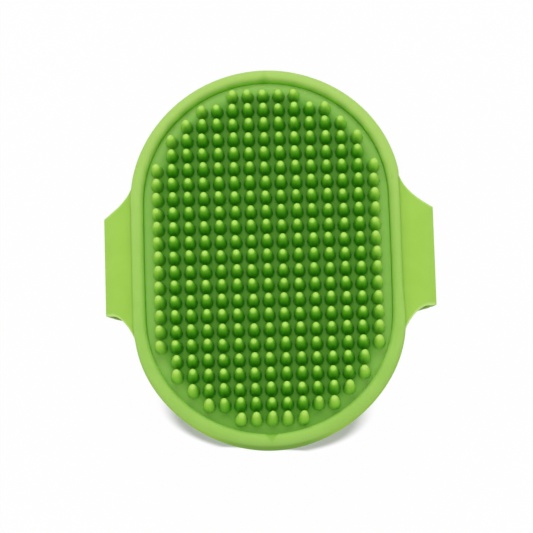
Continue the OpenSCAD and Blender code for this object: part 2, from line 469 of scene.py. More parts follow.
@cache
def skin_group() -> bpy.types.NodeTree:
    """Build, once, the group for a moulded skin.

    It gives a colour with soft flow marks, a roughness that wanders a little, and the height of a
    fine spark-eroded grain over a faint ripple.

    Returns:
        The shader node group.
    """
    flow_edges, flow_bend, wander_scale = (0.36, 0.66), 0.6, 3.1
    ripple_scale, ripple_height = 0.09, 0.8
    bench = NodeBench(bpy.data.node_groups.new("moulded_skin", "ShaderNodeTree"))
    bench.sockets("Color", "Colour", "Tint")
    bench.sockets("Float", "Flow Scale", "Flow Share", "Grain Scale", "Roughness", "Spread")
    bench.sockets("Color", "Colour", way="OUTPUT")
    bench.sockets("Float", "Roughness", "Height", way="OUTPUT")
    given = bench.add("NodeGroupInput").outputs
    place = bench.place()

    def noise(scale: Any, detail: float, bend: float = 0.0) -> Socket:
        """Return noise on the piece's own coordinates."""
        feeds = {"Vector": place, "Scale": scale, "Detail": detail, "Distortion": bend}
        return bench.result("ShaderNodeTexNoise", feeds)

    flow = bench.span(noise(given["Flow Scale"], 3.0, flow_bend), *flow_edges)
    share = bench.times(flow, given["Flow Share"])
    wander = noise(bench.times(given["Flow Scale"], wander_scale), 2.0)
    wander = bench.math("SUBTRACT", wander, 0.5)
    ripple = noise(bench.times(given["Grain Scale"], ripple_scale), 1.0)
    grain = noise(given["Grain Scale"], 2.0)
    bench.add("NodeGroupOutput", {
        "Colour": bench.mix(share, given["Colour"], given["Tint"]),
        "Roughness": bench.math("MULTIPLY_ADD", wander, given["Spread"], given["Roughness"]),
        "Height": bench.math("MULTIPLY_ADD", ripple, ripple_height, grain),
    })
    return bench.tree


@cache
def painted_recess_shade_group() -> bpy.types.NodeTree:
    """Build, once, the group that paints shade, darkening a colour from one height down to another.

    Returns:
        The shader node group.
    """
    bench = NodeBench(bpy.data.node_groups.new("painted_recess_shade", "ShaderNodeTree"))
    bench.sockets("Color", "Colour", "Shaded Colour")
    bench.sockets("Float", "High", "Low")
    bench.sockets("Color", "Colour", way="OUTPUT")
    given = bench.add("NodeGroupInput").outputs
    share = bench.span(bench.parts(bench.place())[2], given["Low"], given["High"])
    bench.add("NodeGroupOutput", {"Colour": bench.mix(share, given["Shaded Colour"], given["Colour"])})
    return bench.tree


@dataclass(frozen=True)
class PaintedRecessShade:
    """Painted shade in a finish's recesses: the colour it darkens to, and the two heights between
    which it darkens.
    """

    # Colour of the painted shade
    deep: Any
    high: float
    low: float

    def put(self, bench: NodeBench, colour: Any) -> Socket:
        """Return the colour with this painted shade."""
        feeds = {"Colour": colour, "Shaded Colour": self.deep, "High": self.high * MM, "Low": self.low * MM}
        return bench.result("ShaderNodeGroup", feeds, node_tree=painted_recess_shade_group())


@dataclass(frozen=True)
class Finish:
    """One moulded finish.

    Colours are linear. Flow and grain are counts per metre, and relief is the depth of the grain.
    """

    name: str
    slot: str
    colour: Colour
    tint: Colour
    roughness: float
    spread: float = 0.12
    flow: float = 90.0
    flow_share: float = 0.6
    grain: float = 3600.0
    relief: float = 0.03
    relief_share: float = 0.5
    shine: float = 0.4
    softness: float = 0.0
    soft_reach: Point = (0.6, 1.0, 0.25)
    soft_depth: float = 1.2
    refraction: float = 1.46

    @cache
    def material(self) -> bpy.types.Material:
        """Build, once, the material of this finish.

        Returns:
            The material.
        """
        material = bpy.data.materials.new(self.name)
        material.use_nodes = True
        bench = NodeBench(material.node_tree)
        skin = bench.add("ShaderNodeGroup", {
            "Colour": self.colour,
            "Tint": self.tint,
            "Flow Scale": self.flow,
            "Flow Share": self.flow_share,
            "Grain Scale": self.grain,
            "Roughness": self.roughness,
            "Spread": self.spread,
        }, node_tree=skin_group()).outputs
        bump = bench.result("ShaderNodeBump", {
            "Strength": self.relief_share, "Distance": self.relief * MM, "Height": skin["Height"],
        })
        shader = bench.result("ShaderNodeBsdfPrincipled", {
            "Base Color": self.painted_light_and_shade(bench, skin["Colour"]),
            "Roughness": self.dulled(bench, skin["Roughness"]),
            "Normal": bump,
            "IOR": self.refraction,
            "Specular IOR Level": self.shine,
            "Subsurface Weight": self.softness,
            "Subsurface Radius": self.soft_reach,
            "Subsurface Scale": self.soft_depth * MM,
        })
        bench.add("ShaderNodeOutputMaterial", {"Surface": shader})
        return material

    def painted_light_and_shade(self, bench: NodeBench, colour: Any) -> Any:
        """Return the colour as it is; a finish with painted light and shade paints them on here."""
        return colour

    def dulled(self, bench: NodeBench, rough: Any) -> Any:
        """Return the roughness as it is; a finish with dull places raises it there."""
        return rough

    @staticmethod
    def tone(bench: NodeBench, full: float) -> Socket:
        """Return how far the piece's tone attribute lies from 0 to its full value, 1 or -1."""
        value = bench.add("ShaderNodeAttribute", attribute_name=TONE).outputs["Fac"]
        return bench.span(value, 0.0, full, "LINEAR")


@dataclass(frozen=True)
class NubFinish(Finish):
    """Finish of the pad, with light and shade painted into its colour: pale nub tips as a painted
    highlight, painted shade down the nubs' sides and feet, on the floor near their feet and at the
    floor's near end, and painted light on the floor at its open margin and by the bore at the far
    end.

    Paired colours are those deep in the field of nubs, with the most painted shade, and at its open
    margin, with the least.
    """

    # Painted shade of the nubs' sides and feet and of the floor: deep in the field, then at the
    # margin
    sides: tuple[Colour, Colour] = ((0.16, 0.49, 0.02), (0.36, 0.68, 0.07))
    feet: tuple[Colour, Colour] = ((0.04, 0.33, 0.003), (0.22, 0.55, 0.045))
    floor: tuple[Colour, Colour] = ((0.13, 0.42, 0.012), (0.345, 0.652, 0.107))
    # Tips at the open margin, with less painted highlight
    outer_tips: Colour = (0.5, 0.78, 0.13)
    # Painted shade on the floor close to the nub feet
    painted_shade_by_nubs: Colour = (0.05, 0.28, 0.002)
    # Painted light on the floor by the bore at the far end
    painted_brink_light: Colour = (0.52, 0.84, 0.2)
    # Bands in millimetres over which the painted light and shade change; near_shade is the share of
    # painted shade at the near end
    gap: Flat = (1.7, 2.75)
    margin: Flat = (33.5, 38.0)
    nub_margin: Flat = (32.0, 37.0)
    painted_brink_band: Flat = (37.0, 39.3)
    near_end: Flat = (-34.0, -60.0)
    near_shade: float = 0.55
    far_light_span: Flat = (48.0, 60.0)
    tip_band: Flat = (45.3, 43.6)
    side_band: Flat = (43.8, 39.2)
    floor_band: Flat = (38.9, 38.6)

    def painted_light_and_shade(self, bench: NodeBench, colour: Any) -> Any:
        """Return the colour of nubs and floor.

        Args:
            bench: Material to build in.
            colour: Colour of the nub tips, paler than the rubber as a painted highlight.

        Returns:
            The colour at any place on the pad.
        """
        # Painted shade deep in the field, near the nub feet and at the near end; painted light at
        # the margin and the far bore edge
        place = bench.place()
        x, y, _ = bench.parts(place)
        reach = OVAL.reach(bench, place)
        out = bench.band(reach, self.margin)
        row = bench.math("MULTIPLY_ADD", x, NubPad.row_skew, y)
        across, along = (bench.math("PINGPONG", part, NubPad.pitch / 2 * MM) for part in (x, row))
        between = bench.band(bench.hypot(across, along), self.gap)
        floor = bench.mix(bench.math("MAXIMUM", between, out), self.painted_shade_by_nubs, self.floor[0])
        near = bench.band(y, self.near_end)
        lit = bench.times(out, bench.math("MULTIPLY_ADD", near, -self.near_shade, 1.0))
        floor = bench.mix(lit, floor, self.floor[1])
        far, painted_brink_light = bench.band(y, self.far_light_span), bench.band(reach, self.painted_brink_band)
        floor = bench.mix(bench.times(far, painted_brink_light), floor, self.painted_brink_light)
        open_out = bench.band(reach, self.nub_margin)
        tips = bench.mix(open_out, colour, self.outer_tips)
        sides, feet = (bench.mix(open_out, *pair) for pair in (self.sides, self.feet))
        shafts = PaintedRecessShade(feet, *self.side_band).put(bench, sides)
        nubs = PaintedRecessShade(shafts, *self.tip_band).put(bench, tips)
        return PaintedRecessShade(floor, *self.floor_band).put(bench, nubs)


@dataclass(frozen=True)
class RimFinish(Finish):
    """Finish of the rim: painted shade in its bore and on its outer side, most at the ends, a
    painted sheen on the crown towards the far end, and knit marks.
    """

    # Painted shade on the bore wall, and on the outer side: flank colour along the sides, skirt
    # colour at the ends
    bore_wall_shade: PaintedRecessShade = PaintedRecessShade((0.27, 0.68, 0.03), 41.1, 38.6)
    flank_shade: Colour = (0.3, 0.55, 0.06)
    skirt_shade: Colour = (0.175, 0.36, 0.045)
    mark: Colour = (0.17, 0.44, 0.022)
    skirt_shade_band: Flat = (41.2, 37.0)
    ends: Flat = (58.0, 64.0)
    crown_line: Flat = (41.3, 41.9)
    # Painted sheen on the crown towards the far end
    painted_far_sheen: Colour = (0.43, 0.665, 0.14)
    far_light_span: Flat = (-15.0, 60.0)
    far_sheen_share: float = 0.85
    dull_band: Flat = (40.4, 38.8)
    dullness: float = 0.45

    def painted_light_and_shade(self, bench: NodeBench, colour: Any) -> Any:
        """Return the colour of the rim, with its painted light and shade.

        Args:
            bench: Material to build in.
            colour: Colour of the crown at the near end.

        Returns:
            The colour at any place on the rim.
        """
        place = bench.place()
        along = bench.parts(place)[1]
        # Painted sheen towards the far end, painted shade in the bore and outside below the crown,
        # then the knit marks
        far = bench.times(bench.band(along, self.far_light_span), self.far_sheen_share)
        colour = bench.mix(far, colour, self.painted_far_sheen)
        end = bench.band(bench.math("ABSOLUTE", along), self.ends)
        outer = PaintedRecessShade(bench.mix(end, self.flank_shade, self.skirt_shade), *self.skirt_shade_band).put(bench, colour)
        out = bench.band(OVAL.reach(bench, place), self.crown_line)
        whole = bench.mix(out, self.bore_wall_shade.put(bench, colour), outer)
        return bench.mix(self.tone(bench, -1.0), whole, self.mark)

    def dulled(self, bench: NodeBench, rough: Any) -> Any:
        """Return the roughness, higher on the rim's sides than on its crown."""
        low = bench.band(bench.parts(bench.place())[2], self.dull_band)
        return bench.math("MULTIPLY_ADD", low, self.dullness, rough)


@dataclass(frozen=True)
class StrapFinish(Finish):
    """Finish of the strap: a painted highlight on its edges, and painted shade inside the fold."""

    painted_edge_highlight: Colour = (0.54, 0.79, 0.24)
    # Colour of the painted shade inside the fold
    deep: Colour = (0.16, 0.3, 0.002)

    def painted_light_and_shade(self, bench: NodeBench, colour: Any) -> Any:
        """Return the colour, with a painted highlight where the strap's tone is above 0 and painted
        shade below 0.
        """
        edged = bench.mix(self.tone(bench, 1.0), colour, self.painted_edge_highlight)
        return bench.mix(self.tone(bench, -1.0), edged, self.deep)


# The pad's colour is the rubber's at the nub tips, raised paler as a painted highlight.
PAD_RUBBER = NubFinish(
    "soft_nub_rubber", "pad_rubber",
    colour=(0.57, 0.88, 0.15), tint=(0.54, 0.86, 0.13),
    roughness=0.4, relief=0.012, shine=0.33, softness=0.12,
)
RIM_RUBBER = RimFinish(
    "satin_rim_rubber", "rim_rubber",
    colour=(0.35, 0.625, 0.105), tint=(0.315, 0.585, 0.087),
    roughness=0.5, relief=0.02, shine=0.28, softness=0.1,
)
STRAP_RUBBER = StrapFinish(
    "matt_strap_rubber", "strap_rubber",
    colour=(0.365, 0.64, 0.079), tint=(0.335, 0.605, 0.066),
    roughness=0.52, relief=0.03, shine=0.28, softness=0.08,
)
PLATE_PLASTIC = Finish(
    "matt_plate_plastic", "plate_plastic",
    colour=(0.27, 0.50, 0.055), tint=(0.235, 0.46, 0.045),
    roughness=0.58, grain=2600.0, relief=0.06,
)
STUD_PLASTIC = Finish(
    "satin_stud_plastic", "stud_plastic",
    colour=(0.29, 0.55, 0.055), tint=(0.26, 0.51, 0.045),
    roughness=0.36, flow=220.0, relief=0.012,
)


# ---- The studio


@dataclass
class PhotoCamera:
    """Camera at the photograph's viewing angle, aimed at the middle of the nub tips."""

    frame_px: float = 533.0
    centre_px: float = 266.0
    px_per_mm: float = 3.11
    distance: float = 1800.0
    tilt: float = 18.5
    yaw: float = -1.68
    roll: float = 1.68
    aim_px: Flat = (266.37, 250.25)
    aim: Point = (0.0, 0.0, 45.0)
    sensor: float = 36.0
    sight_m: float = 10.0

    def build(self) -> None:
        """Make the camera and give it to the scene."""
        turns = ((self.roll, "Z"), (-self.tilt, "X"), (self.yaw, "Y"))
        roll, tilt, yaw = (Matrix.Rotation(radians(a), 3, axis) for a, axis in turns)
        turn = (roll @ tilt @ yaw).transposed()
        across = (self.centre_px - self.aim_px[0]) / self.px_per_mm
        up = (self.aim_px[1] - self.centre_px) / self.px_per_mm
        place = (Vector(self.aim) + turn @ Vector((across, up, self.distance))) * MM
        data = bpy.data.cameras.new("photo_camera")
        data.sensor_width = self.sensor
        data.lens = self.sensor * self.px_per_mm * self.distance / self.frame_px
        data.clip_end = self.sight_m
        spot = Matrix.Translation(place) @ turn.to_4x4()
        bpy.context.scene.camera = in_scene("photo_camera", data, spot)


@dataclass(frozen=True)
class Softbox:
    """One soft lamp: its place, size and aim in metres, and its power in watts."""

    name: str
    place: Point
    size: Flat
    watts: float
    aim: Point = (0.0, 0.0, 0.04)

    def build(self) -> None:
        """Hang the lamp, aimed at the glove."""
        data = bpy.data.lights.new(self.name, "AREA")
        data.shape = "RECTANGLE"
        data.size, data.size_y = self.size
        data.energy = self.watts
        away = Vector(self.place)
        turn = (Vector(self.aim) - away).to_track_quat("-Z", "Y").to_matrix().to_4x4()
        in_scene(self.name, data, Matrix.Translation(away) @ turn)


@dataclass
class Studio:
    """White light tent: four soft walls, brightest at the far end of the glove, and a plain fill.

    The floor is white to the camera but for an oval round the glove, where its shade shows. The
    oval is turned, squashed across, soft at its sides and cut off short at the near end.
    """

    ambient: float = 0.42
    floor_half_m: float = 3.0
    floor_drop: float = 0.15
    floor_paint: float = 0.72
    floor_white: float = 0.98
    shade_turn: float = 5.0
    shade_middle: Flat = (0.25, 4.0)
    shade_squash: float = 0.46
    shade_run: float = 43.5
    side_reach: Flat = (8.0, 19.0)
    near_reach: Flat = (14.2, 15.6)
    shade_near: Flat = (-15.0, -53.0)
    near_cut: Flat = (-52.6, -53.4)
    lamps: tuple[Softbox, ...] = (
        Softbox("far_wall", (0.0, 0.95, 1.0), (1.4, 0.8), 8.0),
        Softbox("near_wall", (0.0, -1.2, 0.6), (1.4, 0.7), 5.5),
        Softbox("left_wall", (-1.2, 0.1, 0.6), (1.4, 0.7), 5.0),
        Softbox("right_wall", (1.2, 0.1, 0.6), (1.4, 0.7), 5.0),
    )

    def build(self) -> None:
        """Set the view, the world, the lamps and the floor."""
        bpy.context.scene.view_settings.view_transform = "Standard"
        self.world()
        for lamp in self.lamps:
            lamp.build()
        self.floor()

    def world(self) -> None:
        """Make the surroundings white to look at, and a plain fill light."""
        world = bpy.data.worlds.new("white_room")
        world.use_nodes = True
        bench = NodeBench(world.node_tree)
        strength = bench.math("MAXIMUM", bench.seen(), self.ambient)
        sky = bench.result("ShaderNodeBackground", {"Color": WHITE, "Strength": strength})
        bench.add("ShaderNodeOutputWorld", {"Surface": sky})
        bpy.context.scene.world = world

    def floor(self) -> None:
        """Lay the pale floor, white to the camera but for the glove's soft shadow."""
        half, drop = self.floor_half_m, -self.floor_drop * MM
        corners = [(x * half, y * half, drop) for x, y in ((-1, -1), (1, -1), (1, 1), (-1, 1))]
        mesh = bpy.data.meshes.new("floor_sweep")
        mesh.from_pydata(corners, [], [(0, 1, 2, 3)])
        material = bpy.data.materials.new("pale_floor")
        material.use_nodes = True
        bench = NodeBench(material.node_tree)
        paint = bench.result("ShaderNodeBsdfDiffuse", {"Color": (self.floor_paint,) * 3})
        glow = bench.result("ShaderNodeEmission", {"Color": WHITE, "Strength": 1.0})
        white = bench.times(self.beyond_shade(bench), self.floor_white)
        share = bench.times(bench.seen(), white)
        both = bench.result("ShaderNodeMixShader", {0: share, 1: paint, 2: glow})
        bench.add("ShaderNodeOutputMaterial", {"Surface": both})
        mesh.materials.append(material)
        floor = in_scene("floor_sweep", mesh)

    def beyond_shade(self, bench: NodeBench) -> Socket:
        """Tell the floor in the glove's shade from the floor away from it.

        Args:
            bench: Material of the floor.

        Returns:
            A share from 0 in the shade to 1 away from it, crisper at the near end.
        """
        turned = bench.result("ShaderNodeVectorRotate", {
            "Vector": bench.place(), "Angle": radians(self.shade_turn),
        }, rotation_type="Z_AXIS")
        (x, y), squash = self.shade_middle, self.shade_squash
        moved = bench.result("ShaderNodeMapping", {
            "Vector": turned,
            "Location": (-x * squash * MM, -y * MM, 0.0),
            "Scale": (squash, 1.0, 1.0),
        })
        along = bench.parts(turned)[1]
        near = bench.band(along, self.shade_near)
        low, high = (
            bench.math("MULTIPLY_ADD", near, (end - side) * MM, side * MM)
            for side, end in zip(self.side_reach, self.near_reach)
        )
        beyond = bench.span(Oval(self.shade_run).reach(bench, moved), low, high)
        return bench.math("MAXIMUM", beyond, bench.band(along, self.near_cut))


# ---- The body


@dataclass
class NubPad:
    """The soft pad: a web clamped under the rim, with a field of round-tipped nubs."""

    flange_r: float = 41.6
    flange_bevel: float = 0.2
    floor_r: float = 39.46
    under: float = 35.5
    flange_top: float = 36.5
    floor: float = 38.5
    edge_r: float = 0.25
    floor_rings: tuple[float, ...] = (32.0, 22.0, 12.0, 4.0, 0.0)
    pitch: float = 5.0
    foot_r: float = 2.0
    foot_play: float = 0.1
    bury: float = 0.3
    nub_h: float = 6.5
    columns: int = 15
    rows: int = 23
    row_skew: float = 0.0119
    edge_lean: float = 5.0
    edge_power: float = 5.0
    end_lean: float = 5.0
    end_power: float = 9.0
    near_sway: float = 4.5
    lean_scatter: float = 2.2
    size_scatter: float = 0.025
    size_step: int = 9
    seed: int = 7
    segments: int = 12
    # Shares of foot diameter and of nub height, from the tip down to the buried foot
    width_line: tuple[float, ...] = (0.0, 0.18, 0.295, 0.415, 0.49, 0.57, 0.0)
    height_line: tuple[float, ...] = (1.0, 0.962, 0.83, 0.46, 0.08, 0.0, 0.0)
    bury_from: float = 0.75
    sharp: float = 50.0

    def build(self) -> Object:
        """Build the web, grow the nubs on it and place it on the pad body.

        Returns:
            The finished piece.
        """
        shell = Shell()
        lines = [self.section(station) for station in OVAL.stations()]
        shell.loft([shell.ring(points) for points in zip(*lines)])
        pad = shell.piece("nub_pad_moulding", PAD_RUBBER)
        self.grow_nubs(pad)
        shade(pad.data, self.sharp)
        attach(pad, "pad")
        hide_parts("nub_pad")
        return pad

    def section(self, station: Flat) -> list[Point]:
        """Lay out the web's section at one station.

        Args:
            station: Where on the oval.

        Returns:
            Its points, from the middle below to the middle above.
        """
        wide, edge = OVAL.bowed(station, self.floor_r), self.edge_r
        out, bevel = self.flange_r, self.flange_bevel
        line = [(0.0, self.under), (out - bevel, self.under), (out, self.under + bevel)]
        line += [(out, self.flange_top), (wide, self.flange_top)]
        line += arc_points((wide - edge, self.floor - edge), edge, 0.0, 90.0, steps=4)
        line += [(r, self.floor) for r in self.floor_rings]
        return [OVAL.at(station, r, z) for r, z in line]

    def grow_nubs(self, web: Object) -> None:
        """Grow the nubs on the web.

        Args:
            web: The plain web, which becomes the whole pad.
        """
        bench = RepeatTree("nub_field", {
            "Pitch": self.pitch * MM,
            "Columns": self.columns,
            "Rows": self.rows,
            "Half Run": OVAL.half_run * MM,
            "Field Radius": (self.floor_r - self.foot_r - self.foot_play) * MM,
            "Floor Height": self.floor * MM,
            "Foot Radius": self.foot_r * MM,
            "Nub Height": self.nub_h * MM,
            "Bury": self.bury * MM,
            "Edge Lean": radians(self.edge_lean),
            "End Lean": radians(self.end_lean),
            "Near Sway": radians(self.near_sway),
            "Row Skew": self.row_skew,
            "Lean Scatter": radians(self.lean_scatter),
            "Size Scatter": self.size_scatter,
            "Seed": self.seed,
        }, PAD_RUBBER)
        least = bench.math("SUBTRACT", 1.0, bench.given["Size Scatter"])
        nubs = bench.copies(
            self.nub_form(bench), self.nub_places(bench),
            Rotation=self.nub_lean(bench), Scale=bench.draw(least, 1.0, self.size_step),
        )
        bench.run(web, bench.joined(nubs))

    @staticmethod
    def nub_places(bench: RepeatTree) -> Socket:
        """Lay a square grid of points, cut to where a whole nub fits on the floor.

        Args:
            bench: The nub tree.

        Returns:
            The points.
        """
        given = bench.given
        counts = given["Columns"], given["Rows"]
        gaps = (bench.math("SUBTRACT", count, 1.0) for count in counts)
        sizes = [bench.times(count, given["Pitch"]) for count in gaps]
        place = bench.result("GeometryNodeInputPosition")
        reach = OVAL.reach(bench, place, given["Half Run"])
        kept = bench.result("GeometryNodeDeleteGeometry", {
            "Geometry": bench.grid(*sizes, *counts),
            "Selection": bench.math("GREATER_THAN", reach, given["Field Radius"]),
        })
        skew = bench.times(given["Row Skew"], -1.0)
        askew = bench.times(bench.parts(place)[0], skew)
        return bench.moved(kept, Offset=bench.vector(Y=askew, Z=given["Floor Height"]))

    def nub_form(self, bench: RepeatTree) -> Socket:
        """Draw a ball of few faces out to the side line of a nub.

        Args:
            bench: The nub tree.

        Returns:
            One nub.
        """
        given, rings = bench.given, len(self.width_line) - 1
        ball = bench.result("GeometryNodeMeshUVSphere", {
            "Segments": self.segments, "Rings": rings, "Radius": 1.0,
        })
        x, y, z = bench.spot()
        level = bench.math("MINIMUM", bench.math("MAXIMUM", z, -1.0), 1.0)
        share = bench.math("DIVIDE", bench.math("ARCCOSINE", level), pi)
        wide = bench.times(bench.curve(share, self.width_line), 2.0)
        wide = bench.times(wide, given["Foot Radius"])
        spread = bench.math("DIVIDE", wide, bench.math("MAXIMUM", bench.hypot(x, y), TINY))
        low = bench.math("GREATER_THAN", share, self.bury_from)
        rise = bench.times(bench.curve(share, self.height_line), given["Nub Height"])
        rise = bench.math("SUBTRACT", rise, bench.times(low, given["Bury"]))
        x, y = (bench.times(part, spread) for part in (x, y))
        return bench.moved(ball, Position=bench.vector(X=x, Y=y, Z=rise))

    def nub_lean(self, bench: RepeatTree) -> Socket:
        """Lean the nubs outwards near the sides and inwards near the ends, with some scatter.

        Args:
            bench: The nub tree.

        Returns:
            Each nub's turn.
        """
        given = bench.given
        x, y, _ = bench.spot()
        end = bench.math("ADD", given["Field Radius"], given["Half Run"])
        off = bench.math("POWER", bench.math("DIVIDE", x, given["Field Radius"]), self.edge_power)
        far = bench.math("POWER", bench.math("DIVIDE", y, end), self.end_power)
        sway = bench.times(bench.math("MINIMUM", far, 0.0), given["Near Sway"])
        out = bench.math("SUBTRACT", bench.times(off, given["Edge Lean"]), sway)
        back = bench.times(far, given["End Lean"])
        most = given["Lean Scatter"]
        draws = [bench.draw(bench.times(most, -1.0), most, step) for step in range(2)]
        back, out = (bench.math("ADD", *pair) for pair in zip((back, out), draws))
        return bench.result("FunctionNodeEulerToRotation", {0: bench.vector(X=back, Y=out)})


@dataclass
class Shoulder:
    """Hollow shoulder between strap and rim: an arc that touches the rim and ends at the crease."""

    radius: float = 15.5
    rim_r: float = 43.5
    crease_x: float = 52.15
    half_width: float = 16.5

    def __post_init__(self) -> None:
        """Find the arc's centre and where it touches the rim."""
        drop = OVAL.half_run - self.half_width
        corner = hypot(self.crease_x, drop)
        far = self.rim_r + self.radius
        cosine = (corner**2 + far**2 - self.radius**2) / (2 * corner * far)
        self.angle = acos(cosine) - atan2(drop, self.crease_x)
        self.centre = (far * cos(self.angle), OVAL.half_run + far * sin(self.angle))
        self.root_half = OVAL.half_run + self.rim_r * sin(self.angle)

    def half_at(self, x: float) -> float:
        """Return half the ear's width at a distance from the middle of the glove."""
        wide = sqrt(max(0.0, self.radius**2 - (self.centre[0] - x) ** 2))
        return min(self.root_half, max(self.half_width, self.centre[1] - wide))


@dataclass
class RimBead:
    """The rounded rim, with its two strap slots and a small knit mark at each end."""

    outer_r: float = 43.5
    bore_r: float = 39.5
    seat_r: float = 41.7
    seat_bevel: float = 0.25
    palm: float = 33.9
    ledge: float = 36.5
    crown: float = 41.25
    outer_round: Flat = (2.2, 2.0)
    inner_round: Flat = (1.6, 1.7)
    side_ease: float = 0.4
    foot_r: float = 0.8
    slot_x: float = 41.0
    slot_low: float = 37.0
    slot_high: float = 39.0
    slot_gap: float = 0.1
    slot_fade: float = 0.6
    pull_depth: float = 0.62
    pull_ease: Flat = (20.0, 4.0)
    # Knit marks at the far and the near end
    knit_depth: float = 0.08
    knit_r: float = 44.0
    knit_half: float = 2.9
    knit_edge: Flat = (2.6, 1.0)
    knit_strength: Flat = (0.6, 1.0)
    knit_places: Flat = (0.5, -0.3)
    # Where the moulding stands in from the true oval: angle, half the angle it spans, and depth
    crown_draws: tuple[Point, ...] = ((142.0, 38.0, 0.24), (88.0, 25.0, -0.1))
    foot_draws: tuple[Point, ...] = ((225.0, 30.0, 0.3), (314.0, 32.0, 0.3), (270.0, 24.0, -0.25))
    # Steps round an end and along a side, and shares of an end: fine steps at the knit marks
    arc_steps: int = 64
    run_steps: int = 24
    fine_steps: int = 16
    fine_step: float = 0.0022
    fine_clear: float = 0.037
    slot_step: float = 2e-5
    crown_steps: tuple[int, int] = (12, 10)

    def build(self) -> Object:
        """Sweep the section round the oval and place the rim on the pad body.

        Returns:
            The finished piece.
        """
        slot_angle = Shoulder().angle + self.slot_gap / self.outer_r
        end, step = slot_angle / pi, self.slot_step
        shares = [s for s in even(self.arc_steps) if abs(s - 0.5) > self.fine_clear]
        shares += [0.5 + self.fine_step * k for k in range(-self.fine_steps, self.fine_steps + 1)]
        shares += [end - step, end + step, 1 - end - step, 1 - end + step]
        stations = OVAL.stations(sorted(shares), self.run_steps)
        shell = Shell()
        shell.loft([shell.ring(*self.section(s, slot_angle)) for s in stations], closed=True)
        rim = shell.piece("rim_bead", RIM_RUBBER)
        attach(rim, "pad")
        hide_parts("rim_frame")
        return rim

    def section(self, station: Flat, slot_angle: float) -> tuple[list[Point], list[float]]:
        """Lay out the rim's section at one station.

        Args:
            station: Where on the oval.
            slot_angle: How far the slots reach round the ends, in radians.

        Returns:
            Points of the section in order, and their tones.
        """
        off = abs(remainder(station[1], pi))
        wide = self.outer_r + self.side_ease * cos(off) ** 2 - self.pull(station)
        wide -= self.drawn_in(station, self.crown_draws)
        slotted = off < slot_angle
        inner, fade = (self.slot_x / cos(off), 0.0) if slotted else (wide, self.slot_fade)
        foot = wide - self.foot_r - self.drawn_in(station, self.foot_draws)
        seat, bevel, low = self.seat_r, self.seat_bevel, self.slot_low
        line = [(seat, self.palm + bevel), (seat + bevel, self.palm)]
        line += arc_points((foot, self.palm + self.foot_r), self.foot_r, -90.0, 0.0, steps=5)
        line += [(wide, low), (inner, low + fade), (inner, self.slot_high - fade)]
        bore = OVAL.bowed(station, self.bore_r)
        (run, rise), steps = self.outer_round, self.crown_steps[0]
        crown = arc_points((wide - run, self.crown - rise), run, 0.0, 90.0, steps, rise / run)
        (run, rise), steps = self.inner_round, self.crown_steps[1]
        crown += arc_points((bore + run, self.crown - rise), run, 90.0, 180.0, steps, rise / run)
        marks = [self.knit(station, r) for r, _ in crown]
        tones = [0.0] * len(line) + [-mark for mark in marks] + [0.0, 0.0]
        line += [(r, z - self.knit_depth * mark) for (r, z), mark in zip(crown, marks)]
        line += [(bore, self.ledge), (seat, self.ledge)]
        return [OVAL.at(station, r, z) for r, z in line], tones

    def pull(self, station: Flat) -> float:
        """Find how far the studded half of the strap pulls the rim's side in.

        Args:
            station: Where on the oval.

        Returns:
            The pull there: nothing beyond the right-hand slot.
        """
        x, y, _ = OVAL.at(station, self.outer_r, 0.0)
        half = Shoulder().root_half
        near, far = self.pull_ease
        return self.pull_depth * smooth(min((half + y) / near, (half - y) / far)) if x > 0 else 0.0

    @staticmethod
    def drawn_in(station: Flat, draws: Iterable[Point]) -> float:
        """Return how far the moulding stands in at a station, by the given draws."""
        turn = degrees(station[1])
        return sum(
            depth * max(0.0, 1 - (remainder(turn - angle, 360.0) / half) ** 2) ** 2
            for angle, half, depth in draws
        )

    def knit(self, station: Flat, radius: float) -> float:
        """Find the strength of the knit marks, shallow wedges that open towards the bore.

        Args:
            station: Where on the oval.
            radius: Distance from the oval's middle line.

        Returns:
            The share of the full depth there, from 0 to 1.
        """
        x, y, _ = OVAL.at(station, radius, 0.0)
        end = 0 if y > 0 else 1
        share = (self.knit_r - radius) / (self.knit_r - self.bore_r)
        inside = self.knit_half * share - abs(x - self.knit_places[end])
        return self.knit_strength[end] * share * min(1.0, max(0.0, inside / self.knit_edge[end]))


